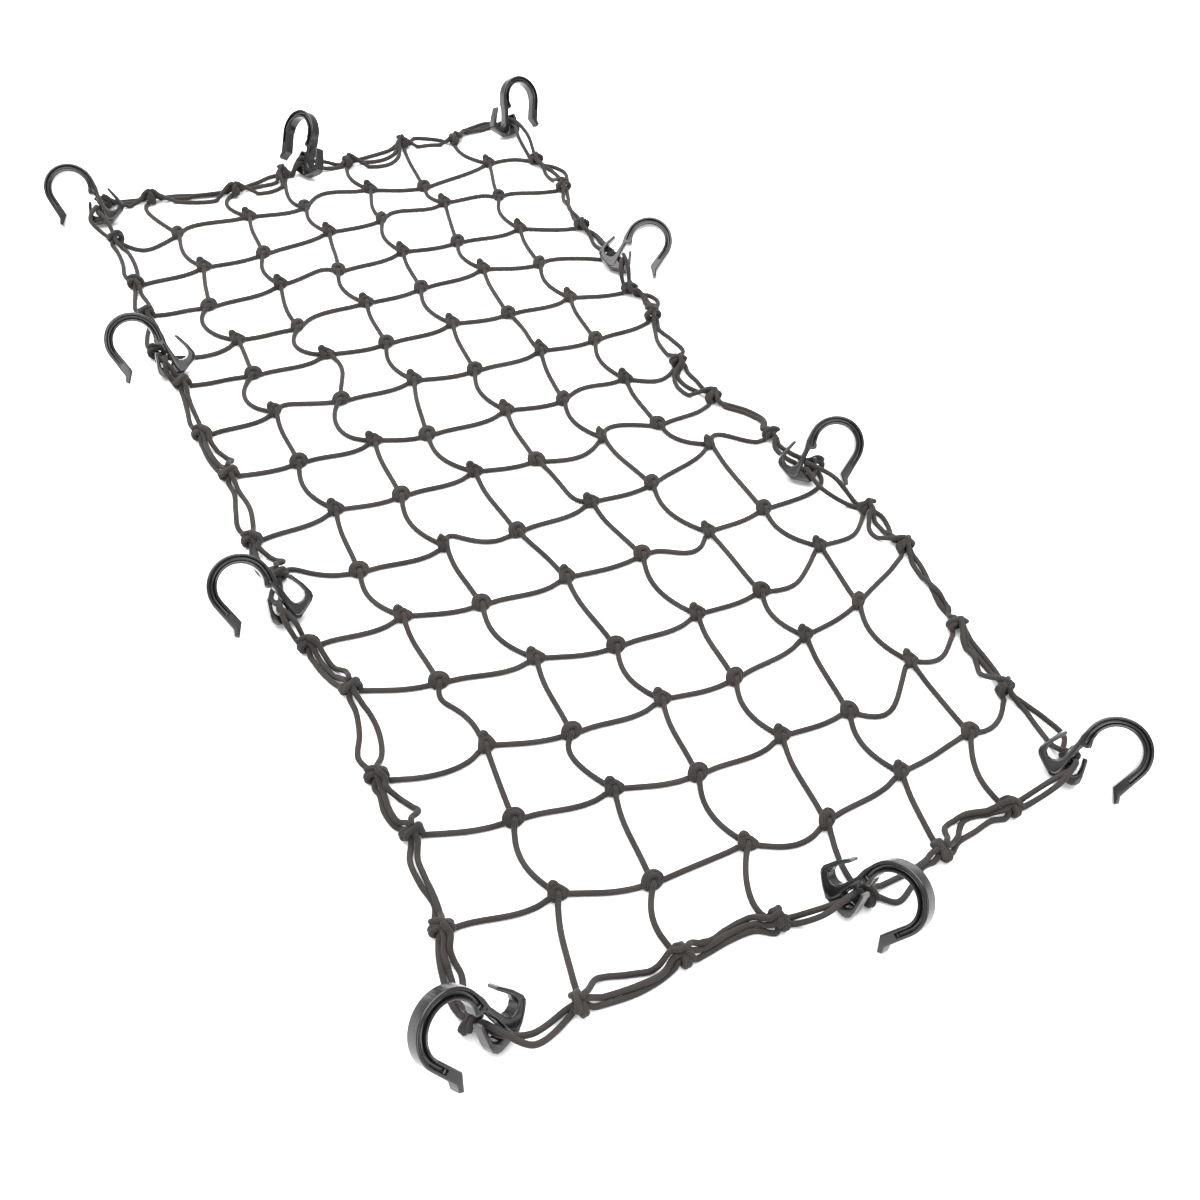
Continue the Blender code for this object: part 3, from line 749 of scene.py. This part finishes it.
def borderCords():
    lines = []
    for edge, number, start, end in borderLine():
        leave = knotEnds[start]["after"]
        arrive = knotEnds[end]["before"]
        stance = stances.get((edge, number))
        strands = borderSpans[edge][number]
        chord = places[end] - places[start]
        out = flat3(Vector((-chord.y, chord.x)).normalized())
        rails = []
        for k, bows in enumerate(strands):
            first = leave["points"][len(strands) - 1 - k]
            last = arrive["points"][k]
            if stance:
                before, wayIn = eyePoints(stance, first, k)
                after, wayOut = eyePoints(stance, last, k)
                up = first.lerp(before, hook["bowAt"]) + out * bows[0]
                down = last.lerp(after, hook["bowAt"]) + out * bows[1]
                up.z = max(cord["thick"] / 2, up.z)
                down.z = max(cord["thick"] / 2, down.z)
                middles = [up, wayIn, wayOut, down]
            else:
                floorLine = [places[start].lerp(places[end], t) for t in (0.25, 0.5, 0.75)]
                middles = [flat3(p, cord["thick"] / 2) + out * bow for p, bow in zip(floorLine, bows)]
            points = []
            for knotPlace, socket in ((start, first), (end, last)):
                middle = flat3(places[knotPlace], wrap["high"])
                aside = (socket - flat3(places[knotPlace])).xy
                core = middle + flat3(aside) * wrap["core"]
                halfway = middle.lerp(flat3(socket, wrap["high"] - wrap["dip"]), 0.5)
                points.append([core, halfway])
            line = points[0] + [first] + middles + [last] + points[1][::-1]
            rails.append(smoothLine(line, cord["step"] / 2))
        lines += rails if stance else stacked(rails)
    return lines


def cornerTurns():
    # at a corner the border cord is wound round its own bundle
    corners = [(row, col) for row in (0, net["along"] - 1) for col in (0, net["across"] - 1)]
    return [smoothLine(wrapPoints(place, False), cord["step"]) for place in corners]


def hexColour(code):
    parts = [int(code[k : k + 2], 16) / 255 for k in (1, 3, 5)]
    return (*(p / 12.92 if p <= 0.04045 else ((p + 0.055) / 1.055) ** 2.4 for p in parts), 1)


def newMaterial(name, settings):
    material = bpy.data.materials.new(name)
    material.use_nodes = True
    shader = material.node_tree.nodes["Principled BSDF"]
    for key, value in settings.items():
        shader.inputs[key].default_value = value
    return material, material.node_tree, shader


def addNode(tree, kind, settings=None, links=None):
    node = tree.nodes.new(kind)
    for key, value in (settings or {}).items():
        if isinstance(key, int) or key in node.inputs:
            node.inputs[key].default_value = value
        else:
            setattr(node, key, value)
    for key, source in (links or {}).items():
        tree.links.new(source, node.inputs[key])
    return node


# Polyester cover braided over rubber: matt, faintly hairy, with the braid's small diamonds, raised by a
# bump and coloured with painted shade in the gaps between the yarns
braid = {
    "dark": "#0d0b0b",
    "light": "#35312f",
    "rough": 0.78,
    "ior": 1.5,
    "gloss": 0.15,  # the fibres scatter most of it away
    "fuzz": 0.06,
    "fuzzRough": 0.5,
    "carriers": 8,  # yarns that run each way round the cord
    "lay": 2.4,  # mm along the cord from yarn to yarn, drawn about twice its real size so that it shows
    "raise": 0.12,  # height of a yarn
    "raiseStrength": 0.6,
    "paintedYarnShade": 0.55,  # painted shade: how much lighter the top of a yarn is coloured than the gaps, from dark to light
    "soil": 42.0,  # lighter and darker patches to the metre, of about 24 mm each
    "soilShade": 0.7,
    "darkUpTo": 0.25,  # shades under this are all the dark colour
}


def braidedCord():
    settings = {
        "Roughness": braid["rough"],
        "IOR": braid["ior"],
        "Specular IOR Level": braid["gloss"],
        "Sheen Weight": braid["fuzz"],
        "Sheen Roughness": braid["fuzzRough"],
    }
    material, tree, shader = newMaterial("Braided polyester shock cord", settings)
    uv = addNode(tree, "ShaderNodeUVMap", {"uv_map": "cord"})
    apart = addNode(tree, "ShaderNodeSeparateXYZ", links={0: uv.outputs[0]})
    perRound = braid["carriers"] / (math.pi * cord["thick"] * mm)
    perMetre = 1 / (braid["lay"] * mm)
    around = addNode(tree, "ShaderNodeMath", {"operation": "MULTIPLY", 1: perRound}, {0: apart.outputs[0]})
    along = addNode(tree, "ShaderNodeMath", {"operation": "MULTIPLY", 1: perMetre}, {0: apart.outputs[1]})
    waves = []
    for way in ("ADD", "SUBTRACT"):
        both = {0: around.outputs[0], 1: along.outputs[0]}
        slant = addNode(tree, "ShaderNodeMath", {"operation": way}, both)
        wave = addNode(tree, "ShaderNodeMath", {"operation": "PINGPONG", 1: 0.5}, {0: slant.outputs[0]})
        waves.append(wave.outputs[0])
    weave = addNode(tree, "ShaderNodeMath", {"operation": "MAXIMUM"}, {0: waves[0], 1: waves[1]})
    height = addNode(tree, "ShaderNodeMath", {"operation": "MULTIPLY", 1: 2.0}, {0: weave.outputs[0]})
    place = addNode(tree, "ShaderNodeTexCoord").outputs["Object"]
    soil = addNode(tree, "ShaderNodeTexNoise", {"Scale": braid["soil"], "Detail": 3.0}, {"Vector": place})
    # painted shade and light: the colour follows the yarn height, darker in the gaps between yarns and
    # lighter on their tops
    paintedYarnShade = {"operation": "MULTIPLY", 1: braid["paintedYarnShade"]}
    paintedGapShade = addNode(tree, "ShaderNodeMath", paintedYarnShade, {0: height.outputs[0]})
    soilShade = {"operation": "MULTIPLY_ADD", 1: braid["soilShade"]}
    mixed = addNode(tree, "ShaderNodeMath", soilShade, {0: soil.outputs[0], 2: paintedGapShade.outputs[0]})
    colour = addNode(tree, "ShaderNodeValToRGB", links={0: mixed.outputs[0]})
    colour.color_ramp.elements[0].position = braid["darkUpTo"]
    colour.color_ramp.elements[0].color = hexColour(braid["dark"])
    colour.color_ramp.elements[1].position = 1.0
    colour.color_ramp.elements[1].color = hexColour(braid["light"])
    tree.links.new(colour.outputs[0], shader.inputs["Base Color"])
    raised = {"Strength": braid["raiseStrength"], "Distance": braid["raise"] * mm}
    bump = addNode(tree, "ShaderNodeBump", raised, {"Height": height.outputs[0]})
    tree.links.new(bump.outputs[0], shader.inputs["Normal"])
    return material


# Nylon 6, injection moulded: near black, with the satin gloss of a polished mould
nylon = {
    "colour": "#0f0f10",
    "rough": 0.2,
    "ior": 1.53,
    "flow": 60.0,  # patches to the metre, of about 17 mm each
    "smoother": 0.06,  # where the melt flowed well
    "rougher": 0.1,  # and where it didn't
    "grain": 900.0,  # specks of the mould's own surface to the metre, of about 1 mm each
    "grainHigh": 0.03,
    "grainStrength": 0.15,
}


def mouldedNylon():
    settings = {"Base Color": hexColour(nylon["colour"]), "IOR": nylon["ior"]}
    material, tree, shader = newMaterial("Injection moulded nylon", settings)
    place = addNode(tree, "ShaderNodeTexCoord").outputs["Object"]
    grain = addNode(tree, "ShaderNodeTexNoise", {"Scale": nylon["grain"], "Detail": 2.0}, {"Vector": place})
    flow = addNode(tree, "ShaderNodeTexNoise", {"Scale": nylon["flow"], "Detail": 2.0}, {"Vector": place})
    spans = {
        "From Min": 0.3,  # nearly all of the noise lies between these two
        "From Max": 0.7,
        "To Min": nylon["rough"] - nylon["smoother"],
        "To Max": nylon["rough"] + nylon["rougher"],
    }
    rough = addNode(tree, "ShaderNodeMapRange", spans, {"Value": flow.outputs[0]})
    tree.links.new(rough.outputs[0], shader.inputs["Roughness"])
    raised = {"Strength": nylon["grainStrength"], "Distance": nylon["grainHigh"] * mm}
    bump = addNode(tree, "ShaderNodeBump", raised, {"Height": grain.outputs[0]})
    tree.links.new(bump.outputs[0], shader.inputs["Normal"])
    return material


cordMaterial = braidedCord()
nylonMaterial = mouldedNylon()

meshNet = cordSkin("mesh_cord", meshCords(), cordMaterial)
border = cordSkin("border_cord", borderCords() + cornerTurns(), cordMaterial)


def deselect():
    for thing in bpy.context.selected_objects:
        thing.select_set(False)


def pick(thing):
    deselect()
    thing.select_set(True)
    bpy.context.view_layer.objects.active = thing


def meshFrom(line):
    made = bpy.data.objects.new(line.name, line)
    bpy.context.collection.objects.link(made)
    pick(made)
    bpy.ops.object.convert(target="MESH")
    return bpy.context.view_layer.objects.active


def plate(name, outline, half, rounding):
    # a flat outline filled, given its thickness and rounded edges, as a mesh
    line = bpy.data.curves.new(name, "CURVE")
    line.dimensions = "2D"
    line.fill_mode = "BOTH"
    line.extrude = (half - rounding) * mm
    line.bevel_depth = rounding * mm
    line.bevel_resolution = hook["roundParts"]
    line.offset = -rounding * mm
    spline = line.splines.new("POLY")
    spline.points.add(len(outline) - 1)
    for point, (s, n) in zip(spline.points, outline):
        point.co = (s * mm, n * mm, 0, 1)
    spline.use_cyclic_u = True
    made = meshFrom(line)
    bpy.ops.object.mode_set(mode="EDIT")
    bpy.ops.mesh.select_all(action="SELECT")
    bpy.ops.mesh.remove_doubles(threshold=hook["weld"] * mm)
    bpy.ops.mesh.normals_make_consistent(inside=False)
    bpy.ops.object.mode_set(mode="OBJECT")
    return made


def channelOutline():
    start, end, step = hook["channelFrom"], hook["channelTo"], hook["arcStep"]
    inner = arc(hook["ringMid"], hook["ringIn"] + hook["channelRim"], start, end, step)
    outer = arc(hook["ringMid"], hook["ringOut"] - hook["channelRim"], end, start, step)
    return inner + list(hook["armEnd"]) + outer + list(hook["noseEnd"])


def bead(name, points, height):
    # a half-sunk round bar that follows the points
    line = bpy.data.curves.new(name, "CURVE")
    line.dimensions = "3D"
    line.bevel_depth = hook["ribThick"] / 2 * mm
    line.bevel_resolution = hook["roundParts"]
    line.use_fill_caps = True
    path = smoothLine([Vector((s, n, height)) for s, n in points], hook["ribStep"])
    spline = line.splines.new("POLY")
    spline.points.add(len(path) - 1)
    for point, place in zip(spline.points, path):
        point.co = (*(place * mm), 1)
    return meshFrom(line)


def makeHook():
    half = hook["thick"] / 2
    depth = hook["channelDeep"] + hook["cutterPast"]
    blank = plate("hookBlank", hookOutline(hook["arcStep"]), half, hook["edgeRound"])
    for face in (1, -1):
        cutter = plate("channel", channelOutline(), depth, hook["channelRound"])
        cutter.location.z = face * (half + hook["cutterPast"]) * mm
        cut = blank.modifiers.new("Channel", "BOOLEAN")
        cut.operation = "DIFFERENCE"
        cut.solver = "EXACT"
        cut.object = cutter
        pick(blank)
        bpy.ops.object.modifier_apply(modifier=cut.name)
        bpy.data.objects.remove(cutter, do_unlink=True)
    bevel = blank.modifiers.new("Rims", "BEVEL")
    bevel.width = hook["rimRound"] * mm
    bevel.segments = hook["roundParts"]
    bevel.limit_method = "ANGLE"
    bevel.angle_limit = math.radians(hook["rimAngle"])
    bpy.ops.object.modifier_apply(modifier=bevel.name)
    ridge = hook["ringIn"] + hook["channelRim"] / 2
    rim = arc(hook["ringMid"], ridge, hook["channelFrom"], hook["channelTo"], hook["rimStep"])
    height = half - hook["ribSunk"]
    beads = [bead("bead", points, face * height) for points in (hook["rib"], rim) for face in (1, -1)]
    pick(blank)
    for thing in beads:
        thing.select_set(True)
    bpy.ops.object.join()
    return blank


blank = makeHook()
for row in hooks:
    made = blank.copy()
    made.data = blank.data.copy()
    made.name = row["name"] + "_moulding"
    bpy.context.collection.objects.link(made)
    stance = row["stance"]
    turn = Matrix.Translation(stance.translation * mm) @ stance.to_3x3().to_4x4()
    made.data.transform(turn)
    if turn.determinant() < 0:
        made.data.flip_normals()
    pick(made)
    bpy.ops.object.shade_smooth_by_angle(angle=math.radians(hook["smoothTo"]))
    weigh = made.modifiers.new("Weigh", "WEIGHTED_NORMAL")
    weigh.keep_sharp = True
    bpy.ops.object.modifier_apply(modifier=weigh.name)
    made.data.materials.clear()
    made.data.materials.append(nylonMaterial)
    row["piece"] = made
bpy.data.objects.remove(blank, do_unlink=True)
print("hooks placed:", len(hooks))

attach(meshNet, "root")
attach(border, "root")
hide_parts("net")
for row in hooks:
    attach(row["piece"], "root")
    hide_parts(row["name"])

# Studio, in metres: a pale floor under an even white sky, a very wide soft lamp overhead that leaves
# hardly a shadow, and a smaller one low in front that draws the gloss of the hooks
studio = {
    "floor": 8.0,
    "floorColour": "#f0f0f0",
    "floorRough": 0.9,
    "sky": 0.8,
}
lampColumns = ("name", "place", "size", "power")
lamps = (
    ("over", (0.0, 0.5, 1.9), 3.2, 175.0),
    ("front", (-0.6, -2.3, 1.1), 1.4, 28.0),
)
deselect()
bpy.ops.mesh.primitive_plane_add(size=studio["floor"], location=(0, 0, 0))
floor = bpy.context.active_object
floor.name = "floor"
# Paper, matt white: it gives back most of the light and hardly any gloss
paper = {"Base Color": hexColour(studio["floorColour"]), "Roughness": studio["floorRough"]}
floor.data.materials.append(newMaterial("Matt white paper", paper)[0])

world = bpy.data.worlds.new("studio")
bpy.context.scene.world = world
world.use_nodes = True
sky = world.node_tree.nodes["Background"]
sky.inputs[0].default_value = (1, 1, 1, 1)
sky.inputs[1].default_value = studio["sky"]
bpy.context.scene.view_settings.view_transform = "Standard"

for row in named(lampColumns, lamps):
    light = bpy.data.lights.new(row["name"], "AREA")
    light.size = row["size"]
    light.energy = row["power"]
    lamp = bpy.data.objects.new(row["name"], light)
    lamp.location = row["place"]
    lamp.rotation_euler = (-Vector(row["place"])).to_track_quat("-Z", "Y").to_euler()
    bpy.context.collection.objects.link(lamp)
print("studio lit:", len(lamps), "lamps")

# The camera stands where the photograph was taken from: turned about Z, tilted down, and rolled a little
camera = {
    "azimuth": -0.5908,  # radians, as the next two
    "elevation": 0.8274,
    "roll": 0.1294,
    "shift": (-66.67, 106.40, 820.09),  # how far right, up and away it sees the net's middle
    "lens": 36.628,
    "sensor": 36.0,
}
az, el, roll = camera["azimuth"], camera["elevation"], camera["roll"]
back = Vector((math.sin(az) * math.cos(el), -math.cos(az) * math.cos(el), math.sin(el)))
level = Vector((math.cos(az), math.sin(az), 0))
above = back.cross(level)
right = level * math.cos(roll) + above * math.sin(roll)
upward = above * math.cos(roll) - level * math.sin(roll)
tx, ty, tz = camera["shift"]
eyePlace = (back * tz - right * tx - upward * ty + flat3(Vector(net["centre"]))) * mm
lens = bpy.data.cameras.new("photo")
lens.lens = camera["lens"]
lens.sensor_width = camera["sensor"]
lens.clip_start = 0.01
shot = bpy.data.objects.new("photo", lens)
shot.matrix_world = Matrix.Translation(eyePlace) @ Matrix((right, upward, back)).transposed().to_4x4()
bpy.context.collection.objects.link(shot)
bpy.context.scene.camera = shot
print("camera placed")
